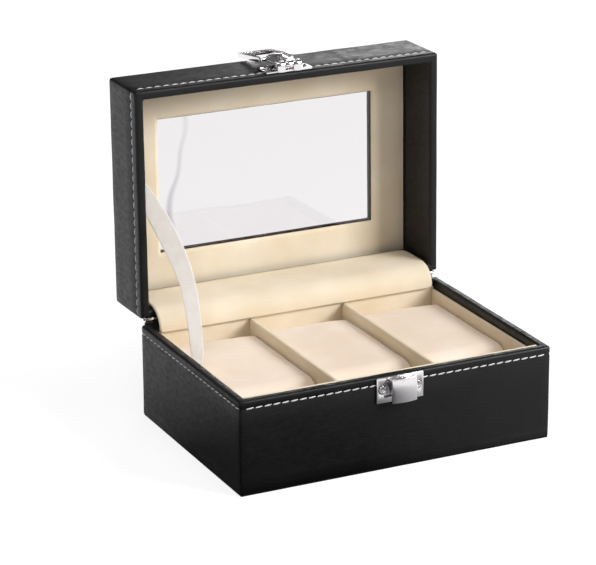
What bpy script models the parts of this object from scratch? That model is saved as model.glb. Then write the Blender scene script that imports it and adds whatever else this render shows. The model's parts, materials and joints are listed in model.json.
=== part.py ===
"""Three-slot watch box with a windowed lid, a rear hinge and a ring-and-catch front latch.

Run with: blender --background --python part.py
Metres, +Z up. X runs to the right along the front, Y to the back, and the origin is at the middle of the
underside. The lid stands open, as at rest. Lid pieces are drawn with the lid shut, in the space of an
empty on the hinge axis, and that empty then turns them open.
"""

from math import cos, pi, radians, sin

import bmesh
import bpy
from mathutils import Matrix, Vector

MM = 0.001

# Driving dimensions, in millimetres.
WIDTH = 160.0
DEPTH = 112.0
BASE_HEIGHT = 46.0
LID_HEIGHT = 32.0
RIM_GAP = 0.8
OPEN_ANGLE = 91.0

CLEARANCE = 0.3
LEATHER = 0.7
BOARD = 2.4
RIM_WIDTH = 2 * LEATHER + BOARD + 2 * CLEARANCE
CORNER_RADIUS = 1.5
RIM_ROUNDING = 1.3
LEATHER_TURN_IN = 4.0

PAD = 0.8
FLOOR_BOARD = 2.4
LINING = 1.3
LINING_DROP = 3.0
FRONT_LINING_DROP = 0.4
SIDE_LINING_DROP = 4.0
DIVIDER = 2.0
DIVIDER_DROP = 3.5
CORNER_STEPS = 4

WINDOW_MARGIN = 20.9
WINDOW_BEVEL = 1.7
WINDOW_STEP = 0.4
PANE = 0.8
PANE_LAP = 3.0
LID_LINING = 1.2

PILLOW_TOP = 37.5
PILLOW_FRONT = -29.0
PILLOW_NOSE = 12.0
PILLOW_SHOULDER = 8.0
PILLOW_HEEL = 2.5
PILLOW_SIDE_GAP = 0.6

HINGE_BEHIND = 0.3
HINGE_ABOVE = 2.1
HINGE_KNUCKLE = 1.2
HINGE_PIN = 0.5
HINGE_LEAF = 0.5
HINGE_LEAF_WIDTH = 8.0
HINGE_LENGTH = 156.0
HINGE_KNUCKLES = 7

PLATE_HALF = 12.0
PLATE_THICK = 0.8
PLATE_HEIGHT = 12.2
CATCH_PLATE_FOOT = 33.4
SCREW_OFFSET = 9.0
SCREW_HEAD = 1.9
SCREW_SHANK = 0.8
SCREW_LENGTH = 3.0
CATCH_HALF = 6.4
CATCH_FOOT = 34.2
CATCH_TOP = 46.1
CATCH_FACE = 5.7
CATCH_BULGE = 0.9
CATCH_WEB_FOOT = 42.7
CATCH_WEB_TOP = 44.1
CATCH_TAB_TOP = 45.3
CATCH_WEB_SIDE = 0.9
RIVET_RADIUS = 1.4
RIVET_OUT = 3.6
SHEET = 0.9
SCREW_CROSS = 1.25
SCREW_CROSS_WIDTH = 0.3
SCREW_CROSS_DEPTH = 0.45
HASP_SCREW_UP = 7.6

KNUCKLE = 2.0
KNUCKLE_BORE = 1.1
KNUCKLE_HALF = 6.3
KNUCKLE_GAP = 2.2
LEVER_KNUCKLE_HALF = 1.9
HASP_PIN = 0.8
HASP_PIN_HALF = 6.6
LEVER_FOOT = 2.6
LEVER_TOP = 12.4
LEVER_EDGE = 0.8
LEVER_BULGE = 1.0
LEVER_TAIL_HALF = 4.0
LEVER_CURL = 1.9
LEVER_CURL_BORE = 1.3
RING_NEAR_BAR = 1.0
LEVER_AXIS_UP = 2.1
LEVER_AXIS_OUT = 3.4
RING_AXIS_UP = 16.35
RING_AXIS_OUT = 3.6
RING_HALF = 9.2
RING_BAR = 2.3
RING_THICK = 2.2
RING_REACH = 23.45
RING_DROOP = 6.5

RIBBON_WIDTH = 11.0
RIBBON_THICK = 0.6
RIBBON_BOW = 71.0
# Depth and height of points down the middle of the ribbon, from the lid to the base.
RIBBON_ROUTE = (
    (69.0, 111.5), (57.8, 101.6), (40.9, 91.0), (25.6, 80.8),
    (19.1, 74.3), (15.1, 62.9), (10.6, 50.5), (4.5, 40.5),
)
FLAP_THICK = 0.9
FLAP_SIDE_GAP = 0.6

HALF_W = WIDTH / 2
HALF_D = DEPTH / 2
LINED_HALF_W = HALF_W - RIM_WIDTH - CLEARANCE - LINING
LINED_HALF_D = HALF_D - RIM_WIDTH - CLEARANCE - LINING
FLOOR_TOP = PAD + CLEARANCE + FLOOR_BOARD
LINING_FOOT = FLOOR_TOP + CLEARANCE
LINING_TOP = BASE_HEIGHT - LINING_DROP
FLOOR_LINING_TOP = LINING_FOOT + LINING
SLOT = (2 * LINED_HALF_W - 2 * DIVIDER) / 3
HINGE_Y = HALF_D + HINGE_BEHIND
HINGE_Z = BASE_HEIGHT + HINGE_ABOVE
LID_RIM = BASE_HEIGHT + RIM_GAP
LID_TOP = LID_RIM + LID_HEIGHT
LID_BOARD_TOP = LID_TOP - LEATHER - CLEARANCE
LID_BOARD_FOOT = LID_BOARD_TOP - BOARD
LID_LINING_FOOT = LID_BOARD_FOOT - CLEARANCE - LID_LINING
WINDOW_WRAP = WINDOW_MARGIN + WINDOW_BEVEL + WINDOW_STEP


def clear_scene():
    for obj in list(bpy.data.objects):
        bpy.data.objects.remove(obj)


def material(name, colour, roughness, metallic=0.0, alpha=1.0):
    found = bpy.data.materials.get(name)
    if found:
        return found
    made = bpy.data.materials.new(name)
    made.use_nodes = True
    shader = made.node_tree.nodes["Principled BSDF"]
    shader.inputs["Base Color"].default_value = (*colour, 1.0)
    shader.inputs["Roughness"].default_value = roughness
    shader.inputs["Metallic"].default_value = metallic
    shader.inputs["Alpha"].default_value = alpha
    return made


def black_leather():
    return material("black_leather", (0.012, 0.012, 0.013), 0.42)


def cream_suede():
    return material("cream_suede", (0.78, 0.66, 0.50), 0.9)


def pillow_velvet():
    return material("pillow_velvet", (0.86, 0.74, 0.62), 0.85)


def board_fibre():
    return material("board_fibre", (0.35, 0.24, 0.14), 0.8)


def chrome():
    return material("chrome", (0.72, 0.71, 0.72), 0.12, metallic=1.0)


def satin():
    return material("ivory_satin", (0.93, 0.88, 0.82), 0.4)


def clear_pane():
    return material("clear_pane", (0.92, 0.95, 0.95), 0.05, alpha=0.3)


def under_felt():
    return material("black_felt", (0.02, 0.02, 0.02), 0.95)


def card():
    return material("grey_card", (0.45, 0.42, 0.38), 0.9)


def object_from(name, mesh_builder, paint, parent=None, smooth=False):
    """An object whose mesh is drawn in millimetres of its parent's space."""
    mesh = bpy.data.meshes.new(name)
    shape = bmesh.new()
    mesh_builder(shape)
    bmesh.ops.recalc_face_normals(shape, faces=shape.faces)
    bmesh.ops.scale(shape, vec=(MM, MM, MM), verts=shape.verts)
    shape.to_mesh(mesh)
    shape.free()
    mesh.materials.append(paint)
    if smooth:
        mesh.shade_smooth()
        mesh.set_sharp_from_angle(angle=radians(35))
    obj = bpy.data.objects.new(name, mesh)
    bpy.context.scene.collection.objects.link(obj)
    obj.parent = parent
    return obj


def empty(name, place, turn_x=0.0, parent=None):
    made = bpy.data.objects.new(name, None)
    bpy.context.scene.collection.objects.link(made)
    made.location = [value * MM for value in place]
    made.rotation_euler.x = radians(turn_x)
    made.parent = parent
    return made


def add_box(shape, low, high):
    size = [high[i] - low[i] for i in range(3)]
    middle = [(high[i] + low[i]) / 2 for i in range(3)]
    place = Matrix.Translation(middle) @ Matrix.Diagonal((*size, 1.0))
    return bmesh.ops.create_cube(shape, size=1.0, matrix=place)["verts"]


def box(name, low, high, paint, parent=None):
    return object_from(name, lambda shape: add_box(shape, low, high), paint, parent)


def add_rod(shape, start, end, radius, segments=16):
    """A closed cylinder from start to end."""
    start, end = Vector(start), Vector(end)
    way = end - start
    turn = way.to_track_quat("Z", "Y").to_matrix().to_4x4()
    place = Matrix.Translation((start + end) / 2) @ turn
    sizes = {"radius1": radius, "radius2": radius, "depth": way.length}
    return bmesh.ops.create_cone(shape, cap_ends=True, segments=segments, matrix=place, **sizes)["verts"]


def helper(name, mesh_builder, parent=None):
    """A cutter or an added piece that a Boolean reads; it is no part of the box."""
    obj = object_from(name, mesh_builder, chrome(), parent)
    obj.hide_render = True
    obj.display_type = "WIRE"
    return obj


def boolean(obj, other, operation):
    step = obj.modifiers.new(operation.lower(), "BOOLEAN")
    step.operation = operation
    step.object = other
    return obj


def rounded_rectangle(half_x, half_y, radius):
    """Corner by corner, the points of a rectangle with round corners, anticlockwise."""
    radius = max(radius, 0.15)
    points = []
    for corner, (sign_x, sign_y) in enumerate(((1, 1), (-1, 1), (-1, -1), (1, -1))):
        for step in range(CORNER_STEPS + 1):
            angle = (corner + step / CORNER_STEPS) * pi / 2
            x = sign_x * (half_x - radius) + radius * cos(angle)
            y = sign_y * (half_y - radius) + radius * sin(angle)
            points.append((x, y))
    return points


def add_frame(shape, profile, half_x=HALF_W, half_y=HALF_D, radius=CORNER_RADIUS):
    """A closed profile of (inset, height) points, swept round a rectangle with round corners."""
    rings = []
    for inset, height in profile:
        outline = rounded_rectangle(half_x - inset, half_y - inset, radius - inset)
        rings.append([shape.verts.new((x, y, height)) for x, y in outline])
    for ring, following in zip(rings, rings[1:] + rings[:1]):
        count = len(ring)
        for i in range(count):
            j = (i + 1) % count
            shape.faces.new((ring[i], ring[j], following[j], following[i]))


def arc(centre, radius, start, end, steps=3):
    """Points of an arc, angles in degrees."""
    found = []
    for step in range(steps + 1):
        angle = radians(start + (end - start) * step / steps)
        found.append((centre[0] + radius * cos(angle), centre[1] + radius * sin(angle)))
    return found


def extrude_outline(shape, outline, low_x, high_x):
    """A closed solid between two X values, from an outline of (y, z) points."""
    near = [shape.verts.new((low_x, y, z)) for y, z in outline]
    far = [shape.verts.new((high_x, y, z)) for y, z in outline]
    shape.faces.new(near)
    shape.faces.new(reversed(far))
    count = len(outline)
    for i in range(count):
        j = (i + 1) % count
        shape.faces.new((near[j], near[i], far[i], far[j]))


# ---------------------------------------------------------------- base carcass


def base_boards():
    inset = LEATHER + CLEARANCE
    deep = inset + BOARD
    foot = PAD + CLEARANCE
    head = BASE_HEIGHT - LEATHER - CLEARANCE
    outer_x, outer_y = HALF_W - inset, HALF_D - inset
    inner_x, inner_y = HALF_W - deep, HALF_D - deep
    side_y = inner_y - CLEARANCE
    front = box("base_front_board", (-outer_x, -outer_y, foot), (outer_x, -inner_y, head), board_fibre())
    box("base_rear_board", (-outer_x, inner_y, foot), (outer_x, outer_y, head), board_fibre())
    box("base_left_board", (-outer_x, -side_y, foot), (-inner_x, side_y, head), board_fibre())
    box("base_right_board", (inner_x, -side_y, foot), (outer_x, side_y, head), board_fibre())
    floor_x, floor_y = inner_x - CLEARANCE, side_y
    box("base_floor_board", (-floor_x, -floor_y, foot), (floor_x, floor_y, FLOOR_TOP), board_fibre())
    return front


def base_leather():
    foot = PAD + CLEARANCE
    rounding = RIM_ROUNDING
    top = BASE_HEIGHT
    inner = RIM_WIDTH
    outer_arc = [(rounding - rounding * cos(a), top - rounding + rounding * sin(a)) for a in quarter_turn()]
    inner_arc = [(inner - x, z) for x, z in reversed(outer_arc)]
    profile = [(0.0, foot)] + outer_arc + inner_arc
    profile += [(inner, top - LEATHER_TURN_IN), (inner - LEATHER, top - LEATHER_TURN_IN)]
    profile += [(inner - LEATHER, top - LEATHER - CLEARANCE / 2), (LEATHER, top - LEATHER - CLEARANCE / 2)]
    profile += [(LEATHER, foot)]
    return object_from(
        "base_leather_cover", lambda shape: add_frame(shape, profile), black_leather(), smooth=True
    )


def quarter_turn(steps=4):
    return [step / steps * pi / 2 for step in range(steps + 1)]


def underside_pad():
    def build(shape):
        outline = rounded_rectangle(HALF_W - 0.4, HALF_D - 0.4, CORNER_RADIUS)
        face = shape.faces.new([shape.verts.new((x, y, 0.0)) for x, y in outline])
        grown = bmesh.ops.extrude_face_region(shape, geom=[face])["geom"]
        top = [item for item in grown if isinstance(item, bmesh.types.BMVert)]
        bmesh.ops.translate(shape, vec=(0, 0, PAD), verts=top)

    return object_from("underside_pad", build, under_felt())


# ---------------------------------------------------------------- lining, dividers


def base_lining():
    outer_x = LINED_HALF_W + LINING
    outer_y = LINED_HALF_D + LINING
    side_y = LINED_HALF_D - CLEARANCE
    foot = LINING_FOOT
    front_top = BASE_HEIGHT - FRONT_LINING_DROP
    side_top = BASE_HEIGHT - SIDE_LINING_DROP
    suede = cream_suede()
    box("lining_front", (-outer_x, -outer_y, foot), (outer_x, -LINED_HALF_D, front_top), suede)
    box("lining_rear", (-outer_x, LINED_HALF_D, foot), (outer_x, outer_y, LINING_TOP), suede)
    box("lining_left", (-outer_x, -side_y, foot), (-LINED_HALF_W, side_y, side_top), suede)
    box("lining_right", (LINED_HALF_W, -side_y, foot), (outer_x, side_y, side_top), suede)
    floor_x = LINED_HALF_W - CLEARANCE
    box("lining_floor", (-floor_x, -side_y, foot), (floor_x, side_y, FLOOR_LINING_TOP), suede)


def dividers():
    side_y = LINED_HALF_D - CLEARANCE
    foot = FLOOR_LINING_TOP + CLEARANCE
    top = BASE_HEIGHT - DIVIDER_DROP
    for name, sign in (("divider_left", -1), ("divider_right", 1)):
        middle = sign * (SLOT + DIVIDER) / 2
        low = (middle - DIVIDER / 2, -side_y, foot)
        high = (middle + DIVIDER / 2, side_y, top)
        box(name, low, high, cream_suede())


# ---------------------------------------------------------------- pillows


def pillow_outline(rear, foot):
    """Seen from the side: a round shoulder behind, a flat top, a full round nose and small heels."""
    shoulder, nose, heel = PILLOW_SHOULDER, PILLOW_NOSE, PILLOW_HEEL
    outline = [(rear - heel, foot), (rear, foot + heel)]
    outline += arc((rear - shoulder, PILLOW_TOP - shoulder), shoulder, 0, 90, 5)
    outline += arc((PILLOW_FRONT + nose, PILLOW_TOP - nose), nose, 90, 180, 7)
    outline += arc((PILLOW_FRONT + heel, foot + heel), heel, 180, 270)
    return outline


def pillows():
    rear = LINED_HALF_D - 2.4
    foot = FLOOR_LINING_TOP + 0.5
    half = SLOT / 2 - PILLOW_SIDE_GAP
    core_rear, core_front = rear - 12.0, PILLOW_FRONT + 16.0
    core_foot, core_top = foot + 9.0, PILLOW_TOP - 13.0
    for name, column in (("left", -1), ("middle", 0), ("right", 1)):
        centre = column * (SLOT + DIVIDER)
        lift = empty(f"pillow_{name}_lift", (centre, 0.0, 0.0))

        def cushion(shape):
            extrude_outline(shape, pillow_outline(rear, foot), -half, half)

        def slot(shape):
            low = (-half - 1, core_front - CLEARANCE, core_foot - CLEARANCE)
            high = (half + 1, core_rear + CLEARANCE, core_top + CLEARANCE)
            add_box(shape, low, high)

        pillow = object_from(f"pillow_{name}", cushion, pillow_velvet(), lift, smooth=True)
        boolean(pillow, helper(f"pillow_{name}_slot", slot, lift), "DIFFERENCE")
        low = (-half + 1.0, core_front, core_foot)
        high = (half - 1.0, core_rear, core_top)
        box(f"pillow_{name}_core", low, high, card(), lift)


# ---------------------------------------------------------------- lid


def in_lid(point):
    """A point of the shut lid, measured from the hinge axis."""
    return (point[0], point[1] - HINGE_Y, point[2] - HINGE_Z)


def lid_box(name, low, high, paint, lid):
    return box(name, in_lid(low), in_lid(high), paint, lid)


def hinge_rebate(shape):
    """The strip cut from the lid's lower rear edge, where the hinge barrel turns."""
    reach = HINGE_KNUCKLE + 0.4
    low = in_lid((-HALF_W - 5, HINGE_Y - reach, LID_RIM - 5))
    high = in_lid((HALF_W + 5, HINGE_Y + 10, HINGE_Z + reach))
    add_box(shape, low, high)


def lid_boards(lid, rebate):
    inset = LEATHER + CLEARANCE
    deep = inset + BOARD
    foot = LID_RIM + LEATHER + CLEARANCE
    head = LID_BOARD_FOOT - CLEARANCE
    outer_x, outer_y = HALF_W - inset, HALF_D - inset
    inner_x, inner_y = HALF_W - deep, HALF_D - deep
    side_y = inner_y - CLEARANCE
    fibre = board_fibre()
    front = lid_box("lid_front_board", (-outer_x, -outer_y, foot), (outer_x, -inner_y, head), fibre, lid)
    rear = lid_box("lid_rear_board", (-outer_x, inner_y, foot), (outer_x, outer_y, head), fibre, lid)
    boolean(rear, rebate, "DIFFERENCE")
    lid_box("lid_left_board", (-outer_x, -side_y, foot), (-inner_x, side_y, head), fibre, lid)
    lid_box("lid_right_board", (inner_x, -side_y, foot), (outer_x, side_y, head), fibre, lid)
    return front


def lid_frame(name, profile, paint, lid, smooth=False, half_x=HALF_W, half_y=HALF_D):
    def build(shape):
        add_frame(shape, profile, half_x, half_y)
        bmesh.ops.translate(shape, vec=(0, -HINGE_Y, -HINGE_Z), verts=shape.verts)

    return object_from(name, build, paint, lid, smooth)


def lid_top_board(lid):
    """The board round the window, stepped on its inner side to take the pane."""
    outer = LEATHER + CLEARANCE
    edge = WINDOW_WRAP - LEATHER - CLEARANCE
    step = edge - PANE_LAP
    shelf = LID_BOARD_FOOT + PANE + CLEARANCE
    profile = [(outer, LID_BOARD_FOOT), (outer, LID_BOARD_TOP), (edge, LID_BOARD_TOP)]
    profile += [(edge, shelf), (step, shelf), (step, LID_BOARD_FOOT)]
    return lid_frame("lid_top_board", profile, board_fibre(), lid)


def lid_leather(lid, rebate):
    rounding = RIM_ROUNDING
    foot, top, inner = LID_RIM, LID_TOP, RIM_WIDTH
    wrap = WINDOW_WRAP
    shelf = LID_BOARD_FOOT + PANE + 2 * CLEARANCE
    turn = quarter_turn()
    top_arc = [(rounding - rounding * sin(a), top - rounding + rounding * cos(a)) for a in turn]
    foot_arc = [(rounding - rounding * cos(a), foot + rounding - rounding * sin(a)) for a in turn]
    inner_arc = [(inner - x, z) for x, z in reversed(foot_arc)]
    inner_top = LID_LINING_FOOT + LID_LINING
    profile = [(wrap, top)] + top_arc + foot_arc + inner_arc
    profile += [(inner, inner_top), (inner - LEATHER, inner_top)]
    profile += [(inner - LEATHER, foot + LEATHER + CLEARANCE / 2), (LEATHER, foot + LEATHER + CLEARANCE / 2)]
    profile += [(LEATHER, top - LEATHER), (wrap - LEATHER, top - LEATHER)]
    profile += [(wrap - LEATHER, shelf), (wrap, shelf)]
    cover = lid_frame("lid_leather_cover", profile, black_leather(), lid, smooth=True)
    return boolean(cover, rebate, "DIFFERENCE")


def window_pane(lid):
    edge = WINDOW_WRAP - LEATHER - PANE_LAP
    low = (-HALF_W + edge, -HALF_D + edge, LID_BOARD_FOOT)
    high = (HALF_W - edge, HALF_D - edge, LID_BOARD_FOOT + PANE)
    return lid_box("window_pane", low, high, clear_pane(), lid)


def lid_lining(lid):
    """The suede-covered panel inside the lid, with the window cut through on a slant."""
    outer = RIM_WIDTH + CLEARANCE
    low, high = LID_LINING_FOOT, LID_LINING_FOOT + LID_LINING
    profile = [(outer, low), (outer, high), (WINDOW_MARGIN + WINDOW_BEVEL, high), (WINDOW_MARGIN, low)]
    return lid_frame("lid_lining_panel", profile, cream_suede(), lid)


# ---------------------------------------------------------------- rear hinge


def knuckle_spans():
    """(low x, high x) of each knuckle along the hinge, with a small gap between neighbours."""
    pitch = HINGE_LENGTH / HINGE_KNUCKLES
    start = -HINGE_LENGTH / 2
    return [(start + i * pitch + 0.15, start + (i + 1) * pitch - 0.15) for i in range(HINGE_KNUCKLES)]


def hinge_leaf(name, spans, side, parent, origin):
    """A leaf flat on the rear face, with its own knuckles; side is -1 below the axis and +1 above."""
    near = HINGE_KNUCKLE + 0.4
    leaf_front, leaf_rear = 0.0, HINGE_LEAF

    def build(shape):
        ends = sorted((side * near, side * (near + HINGE_LEAF_WIDTH)))
        add_box(shape, (-HINGE_LENGTH / 2, leaf_front, ends[0]), (HINGE_LENGTH / 2, leaf_rear, ends[1]))
        bmesh.ops.translate(shape, vec=origin, verts=shape.verts)

    leaf = object_from(name, build, chrome(), parent, smooth=True)
    for number, (low, high) in enumerate(spans):

        def web(shape):
            ends = sorted((side * 0.2, side * (near + 0.5)))
            add_box(shape, (low, leaf_front, ends[0]), (high, leaf_rear, ends[1]))
            bmesh.ops.translate(shape, vec=origin, verts=shape.verts)

        def barrel(shape):
            add_rod(shape, (low, 0, 0), (high, 0, 0), HINGE_KNUCKLE, 12)
            bmesh.ops.translate(shape, vec=origin, verts=shape.verts)

        boolean(leaf, helper(f"{name}_web_{number}", web, parent), "UNION")
        boolean(leaf, helper(f"{name}_barrel_{number}", barrel, parent), "UNION")

    def bore(shape):
        reach = HINGE_LENGTH / 2 + 1
        add_rod(shape, (-reach, 0, 0), (reach, 0, 0), HINGE_PIN + 0.25, 12)
        bmesh.ops.translate(shape, vec=origin, verts=shape.verts)

    return boolean(leaf, helper(f"{name}_bore", bore, parent), "DIFFERENCE")


def rear_hinge(lid):
    spans = knuckle_spans()
    axis = (0.0, HINGE_Y, HINGE_Z)
    hinge_leaf("hinge_leaf_base", spans[0::2], -1, None, axis)
    hinge_leaf("hinge_leaf_lid", spans[1::2], 1, lid, (0.0, 0.0, 0.0))

    def pin(shape):
        reach = HINGE_LENGTH / 2 + 0.6
        add_rod(shape, (-reach, HINGE_Y, HINGE_Z), (reach, HINGE_Y, HINGE_Z), HINGE_PIN, 12)

    object_from("hinge_pin", pin, chrome(), smooth=True)


# ---------------------------------------------------------------- front catch and hasp


def screw(name, x, y, z, parent, backing):
    """A cross-slotted screw: its head lies in the plate, and its shank runs through each backing piece."""
    head_front = y - PLATE_THICK - 0.3
    tip = y + SCREW_LENGTH

    def head(shape):
        add_rod(shape, (x, y - 0.1, z), (x, head_front, z), SCREW_HEAD, 16)

    def shank(shape):
        add_rod(shape, (x, tip, z), (x, y - 0.4, z), SCREW_SHANK, 10)

    def shank_hole(shape):
        add_rod(shape, (x, tip + 0.4, z), (x, y - 0.4, z), SCREW_SHANK + CLEARANCE, 10)

    made = object_from(name, head, chrome(), parent, smooth=True)
    boolean(made, helper(f"{name}_shank", shank, parent), "UNION")
    hole = helper(f"{name}_hole", shank_hole, parent)
    for piece in backing:
        boolean(piece, hole, "DIFFERENCE")
    crosses = ((SCREW_CROSS, SCREW_CROSS_WIDTH), (SCREW_CROSS_WIDTH, SCREW_CROSS))
    for number, (half_x, half_z) in enumerate(crosses):

        def slot(shape):
            low = (x - half_x, head_front - 1, z - half_z)
            high = (x + half_x, head_front + SCREW_CROSS_DEPTH, z + half_z)
            add_box(shape, low, high)

        boolean(made, helper(f"{name}_slot_{number}", slot, parent), "DIFFERENCE")


def plate_with_screws(name, foot, face, parent, screw_z, backing):
    """A plate flat on a front face, with a screw near each end."""
    back = face - CLEARANCE
    low = (-PLATE_HALF, back - PLATE_THICK, foot)
    high = (PLATE_HALF, back, foot + PLATE_HEIGHT)
    plate = box(f"{name}_plate", low, high, chrome(), parent)
    for side, sign in (("left", -1), ("right", 1)):
        x = sign * SCREW_OFFSET

        def hole(shape):
            add_rod(shape, (x, back - 4, screw_z), (x, back + 4, screw_z), SCREW_HEAD + 0.25, 16)

        boolean(plate, helper(f"{name}_hole_{side}", hole, parent), "DIFFERENCE")
        screw(f"{name}_screw_{side}", x, back, screw_z, parent, backing)
    return plate


def bowed_sheet(shape, half, low, high, face, bulge):
    """A sheet bowed outwards across its width, between two Y faces; face is its edge's outer distance."""
    steps = 8
    outline = []
    for step in range(steps + 1):
        t = -1 + 2 * step / steps
        outline.append((t * half, -(face + bulge * (1 - t * t))))
    inner = [(x, y + SHEET) for x, y in reversed(outline)]
    loop = outline + inner
    bottom = [shape.verts.new((x, y, low)) for x, y in loop]
    top = [shape.verts.new((x, y, high)) for x, y in loop]
    count = len(loop)
    for i in range(count):
        j = (i + 1) % count
        shape.faces.new((bottom[i], bottom[j], top[j], top[i]))
    for i in range(steps):
        k = count - 1 - i
        shape.faces.new((bottom[i], bottom[k], bottom[k - 1], bottom[i + 1]))
        shape.faces.new((top[i + 1], top[k - 1], top[k], top[i]))


def front_catch(backing):
    """The fixed catch on the base: a screwed plate with a bowed hook, under which the ring draws up."""
    face = -HALF_D
    front = face - CLEARANCE - PLATE_THICK
    middle = CATCH_PLATE_FOOT + PLATE_HEIGHT / 2 + 0.3
    plate_with_screws("catch", CATCH_PLATE_FOOT, face, None, middle, backing)

    def hook(shape):
        bowed_sheet(shape, CATCH_HALF, CATCH_FOOT, CATCH_TOP, CATCH_FACE, CATCH_BULGE)
        bmesh.ops.translate(shape, vec=(0, face, 0), verts=shape.verts)

    half = CATCH_HALF - CATCH_WEB_SIDE
    rear = front - CLEARANCE

    def web(shape):
        low = (-half, face - CATCH_FACE - 0.2, CATCH_WEB_FOOT)
        add_box(shape, low, (half, rear, CATCH_WEB_TOP))

    def foot_tab(shape):
        add_box(shape, (-half, rear - SHEET, CATCH_WEB_FOOT), (half, rear, CATCH_TAB_TOP))

    made = object_from("catch_hook", hook, chrome(), smooth=True)
    boolean(made, helper("catch_hook_web", web), "UNION")
    boolean(made, helper("catch_hook_tab", foot_tab), "UNION")

    def rivet(shape):
        bmesh.ops.create_uvsphere(shape, u_segments=12, v_segments=8, radius=RIVET_RADIUS)
        place = (0, face - RIVET_OUT, CATCH_WEB_TOP + CLEARANCE + 0.1)
        everything = shape.verts[:] + shape.edges[:] + shape.faces[:]
        plane = {"plane_co": (0, 0, 0.1), "plane_no": (0, 0, 1)}
        bmesh.ops.bisect_plane(shape, geom=everything, clear_inner=True, **plane)
        bmesh.ops.holes_fill(shape, edges=shape.edges[:], sides=0)
        bmesh.ops.translate(shape, vec=place, verts=shape.verts)

    object_from("catch_rivet", rivet, chrome(), smooth=True)


def hasp_frame():
    """Where the lid's front face and rim lie, seen from the lid's hinge axis."""
    return -HALF_D - HINGE_Y, LID_RIM - HINGE_Z


def hasp_plate(lid, backing):
    face, rim = hasp_frame()
    back = face - CLEARANCE
    axis_y, axis_z = face - LEVER_AXIS_OUT, rim + LEVER_AXIS_UP
    plate = plate_with_screws("hasp", rim + 0.5, face, lid, rim + HASP_SCREW_UP, backing)
    for name, sign in (("left", -1), ("right", 1)):
        inner, outer = sorted((sign * KNUCKLE_GAP, sign * KNUCKLE_HALF))

        def web(shape):
            low = (inner, axis_y, axis_z - KNUCKLE)
            high = (outer, back, axis_z - KNUCKLE_BORE)
            add_box(shape, low, high)

        def barrel(shape):
            add_rod(shape, (inner, axis_y, axis_z), (outer, axis_y, axis_z), KNUCKLE, 16)

        boolean(plate, helper(f"hasp_web_{name}", web, lid), "UNION")
        boolean(plate, helper(f"hasp_barrel_{name}", barrel, lid), "UNION")

    def bore(shape):
        add_rod(shape, (-PLATE_HALF, axis_y, axis_z), (PLATE_HALF, axis_y, axis_z), KNUCKLE_BORE, 16)

    boolean(plate, helper("hasp_bore", bore, lid), "DIFFERENCE")

    def pin(shape):
        add_rod(shape, (-HASP_PIN_HALF, axis_y, axis_z), (HASP_PIN_HALF, axis_y, axis_z), HASP_PIN, 12)

    object_from("hasp_pin", pin, chrome(), lid, smooth=True)


def hasp_lever(swing):
    """The bowed lever, drawn from its own axis: a knuckle, a neck, a bowed plate and a curled end."""
    ring_z = RING_AXIS_UP - LEVER_AXIS_UP
    ring_y = LEVER_AXIS_OUT - RING_AXIS_OUT
    half, tail_half = LEVER_KNUCKLE_HALF, LEVER_TAIL_HALF

    def plate(shape):
        bowed_sheet(shape, KNUCKLE_HALF, LEVER_FOOT, LEVER_TOP, LEVER_EDGE, LEVER_BULGE)

    def neck(shape):
        add_box(shape, (-half, -KNUCKLE, 0.4), (half, -KNUCKLE_BORE, LEVER_FOOT + 0.6))

    def knuckle(shape):
        add_rod(shape, (-half, 0, 0), (half, 0, 0), KNUCKLE, 16)

    def tail(shape):
        low = (-tail_half, -LEVER_EDGE - 0.8, LEVER_TOP - 0.6)
        high = (tail_half, -LEVER_EDGE + 0.2, ring_z)
        add_box(shape, low, high)

    def curl(shape):
        add_rod(shape, (-tail_half, ring_y, ring_z), (tail_half, ring_y, ring_z), LEVER_CURL, 16)

    def bore(shape):
        add_rod(shape, (-PLATE_HALF, 0, 0), (PLATE_HALF, 0, 0), KNUCKLE_BORE, 16)

    def ring_bore(shape):
        add_rod(shape, (-PLATE_HALF, ring_y, ring_z), (PLATE_HALF, ring_y, ring_z), LEVER_CURL_BORE, 16)

    made = object_from("hasp_lever", plate, chrome(), swing, smooth=True)
    for name, part in (("neck", neck), ("knuckle", knuckle), ("tail", tail), ("curl", curl)):
        boolean(made, helper(f"hasp_lever_{name}", part, swing), "UNION")
    for name, part in (("bore", bore), ("ring_bore", ring_bore)):
        boolean(made, helper(f"hasp_lever_{name}", part, swing), "DIFFERENCE")


def hasp_ring(turn):
    """The square ring, drawn from its axis, its near bar turned round where the lever's end holds it."""
    bar, half, inner = RING_BAR, RING_HALF, RING_HALF - RING_BAR
    thick = RING_THICK / 2

    def side(sign):
        low, high = sorted((sign * inner, sign * half))
        return (low, -thick, -bar / 2), (high, thick, RING_REACH)

    def left(shape):
        add_box(shape, *side(-1))

    def right(shape):
        add_box(shape, *side(1))

    def far(shape):
        add_box(shape, (-inner - 0.5, -thick, RING_REACH - bar), (inner + 0.5, thick, RING_REACH))

    def near_bar(shape):
        add_rod(shape, (-inner - 0.5, 0, 0), (inner + 0.5, 0, 0), RING_NEAR_BAR, 16)

    made = object_from("hasp_ring", left, chrome(), turn)
    for name, part in (("right", right), ("far", far), ("near", near_bar)):
        boolean(made, helper(f"hasp_ring_{name}", part, turn), "UNION")
    edge = made.modifiers.new("soft_edges", "BEVEL")
    edge.width = 0.25 * MM
    edge.segments = 1
    edge.limit_method = "ANGLE"
    edge.angle_limit = radians(60)


def hasp(lid, backing):
    face, rim = hasp_frame()
    hasp_plate(lid, backing)
    swing = empty("hasp_lever_swing", (0, face - LEVER_AXIS_OUT, rim + LEVER_AXIS_UP), parent=lid)
    hasp_lever(swing)
    ring_place = (0, LEVER_AXIS_OUT - RING_AXIS_OUT, RING_AXIS_UP - LEVER_AXIS_UP)
    turn = empty("hasp_ring_turn", ring_place, turn_x=-RING_DROOP, parent=swing)
    hasp_ring(turn)


# ---------------------------------------------------------------- ribbon stay and hinge flap


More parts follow.
